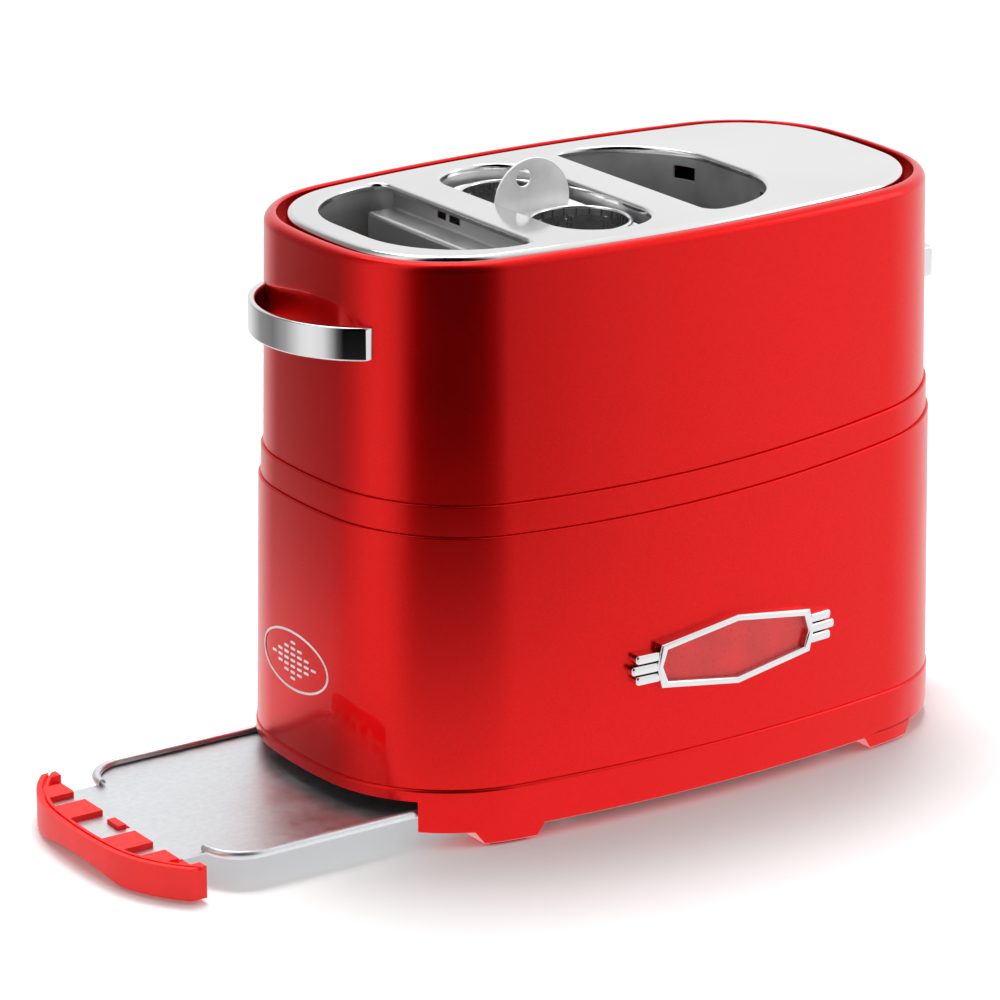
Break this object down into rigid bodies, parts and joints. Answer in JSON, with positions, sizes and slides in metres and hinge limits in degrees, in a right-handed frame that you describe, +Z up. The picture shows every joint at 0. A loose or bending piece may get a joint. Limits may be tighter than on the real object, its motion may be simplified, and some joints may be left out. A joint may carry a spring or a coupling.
{
  "type": "hot dog toaster",
  "caption": "Oval pop-up toaster with bun wells beside a lift-out hot dog cage, a side lever on a sprung carriage, and a crumb tray that draws out of the base.",
  "frame": {"origin": "middle of the whole part's box in plan, tray drawn out, on the plane the feet stand on", "axes": "+Z up, +X along the casing from the tray's end towards the lever's end, +Y from the badge side to the back"},
  "size_m": [0.3787, 0.1577, 0.2317],
  "materials": {
    "casing_red": "candy red metallic under clear gloss",
    "tray_handle_red": "plain red, satin gloss",
    "badge_red": "gloss red",
    "rubber_feet": "matt black",
    "plate_steel": "polished, faintly soft",
    "bright_chrome": "bright chrome",
    "liner_steel": "satin sheet",
    "cage_steel": "bright sheet and wire",
    "carriage_steel": "plated sheet",
    "tray_steel": "plain sheet",
    "chassis_steel": "galvanised sheet",
    "screw_steel": "plated",
    "heater_mica": "mica sheet",
    "heater_ribbon": "heating ribbon",
    "ceramic": "unglazed ceramic",
    "black_plastic": "matt black",
    "black_knob": "gloss black",
    "board_green": "circuit board",
    "black_rubber": "matt black"
  },
  "bodies": {
    "root": {"badge_frame": "bright_chrome", "badge_panel": "badge_red", "base_posts": "black_plastic", "base_screws": "screw_steel", "base_skirt": "casing_red", "belt_band": "casing_red", "board_spacers": "ceramic", "bottom_plate": "chassis_steel", "bun_guide_left": "liner_steel", "bun_guide_right": "liner_steel", "bun_liner_left": "liner_steel", "bun_liner_right": "liner_steel", "button_guide": "black_plastic", "cancel_switch": "black_plastic", "carry_handle": "bright_chrome", "centre_liner": "liner_steel", "chassis_floor": "chassis_steel", "chassis_left": "chassis_steel", "chassis_right": "chassis_steel", "control_board": "board_green", "cord_gland": "black_rubber", "dial_plate": "bright_chrome", "electromagnet": "black_plastic", "foot_pads": "rubber_feet", "guide_rods": "screw_steel", "handle_screws": "screw_steel", "heater_board_left": "heater_mica", "heater_board_right": "heater_mica", "heater_ribbons_left": "heater_ribbon", "heater_ribbons_right": "heater_ribbon", "lift_spring_back": "screw_steel", "lift_spring_front": "screw_steel", "lower_shell": "casing_red", "magnet_bracket": "chassis_steel", "rod_bracket": "chassis_steel", "slot_bezel": "bright_chrome", "timer_switch": "black_plastic", "top_plate": "plate_steel", "tray_rail_back": "chassis_steel", "tray_rail_front": "chassis_steel", "upper_shell": "casing_red"},
    "carriage": {"carriage_frame": "carriage_steel", "bun_rack_left": "cage_steel", "bun_rack_right": "cage_steel", "cage_rest": "cage_steel", "carriage_plate": "carriage_steel", "slider_bushes": "black_plastic", "keeper": "carriage_steel", "lever_arm": "carriage_steel", "lever_knob": "bright_chrome"},
    "cage": {"cage_plate": "cage_steel", "cage_rings": "bright_chrome", "basket_front": "cage_steel", "basket_back": "cage_steel"},
    "tray": {"tray_pan": "tray_steel", "tray_handle": "tray_handle_red"},
    "timer": {"timer_shaft": "screw_steel", "timer_knob": "black_knob"},
    "cancel": {"cancel_button": "black_knob"}
  },
  "joints": [
    {"name": "carriage_slide", "type": "slide", "parent": "root", "child": "carriage", "axis": [0, 0, 1], "range_m": [-0.048, 0], "stiffness_N_per_m": 160, "springref_m": 0.06, "deforming": ["lift_spring_front", "lift_spring_back"]},
    {"name": "cage_lift", "type": "slide", "parent": "carriage", "child": "cage", "axis": [0, 0, 1], "range_m": [0, 0.13]},
    {"name": "tray_slide", "type": "slide", "parent": "root", "child": "tray", "axis": [-1, 0, 0], "range_m": [-0.094, 0.11]},
    {"name": "timer_turn", "type": "hinge", "parent": "root", "child": "timer", "pos_m": [0.17366, 0.00085, 0.064], "axis": [1, 0, 0], "range_deg": [-135, 135]},
    {"name": "cancel_press", "type": "slide", "parent": "root", "child": "cancel", "axis": [-1, 0, 0], "range_m": [0, 0.0025], "stiffness_N_per_m": 500, "springref_m": -0.001}
  ]
}
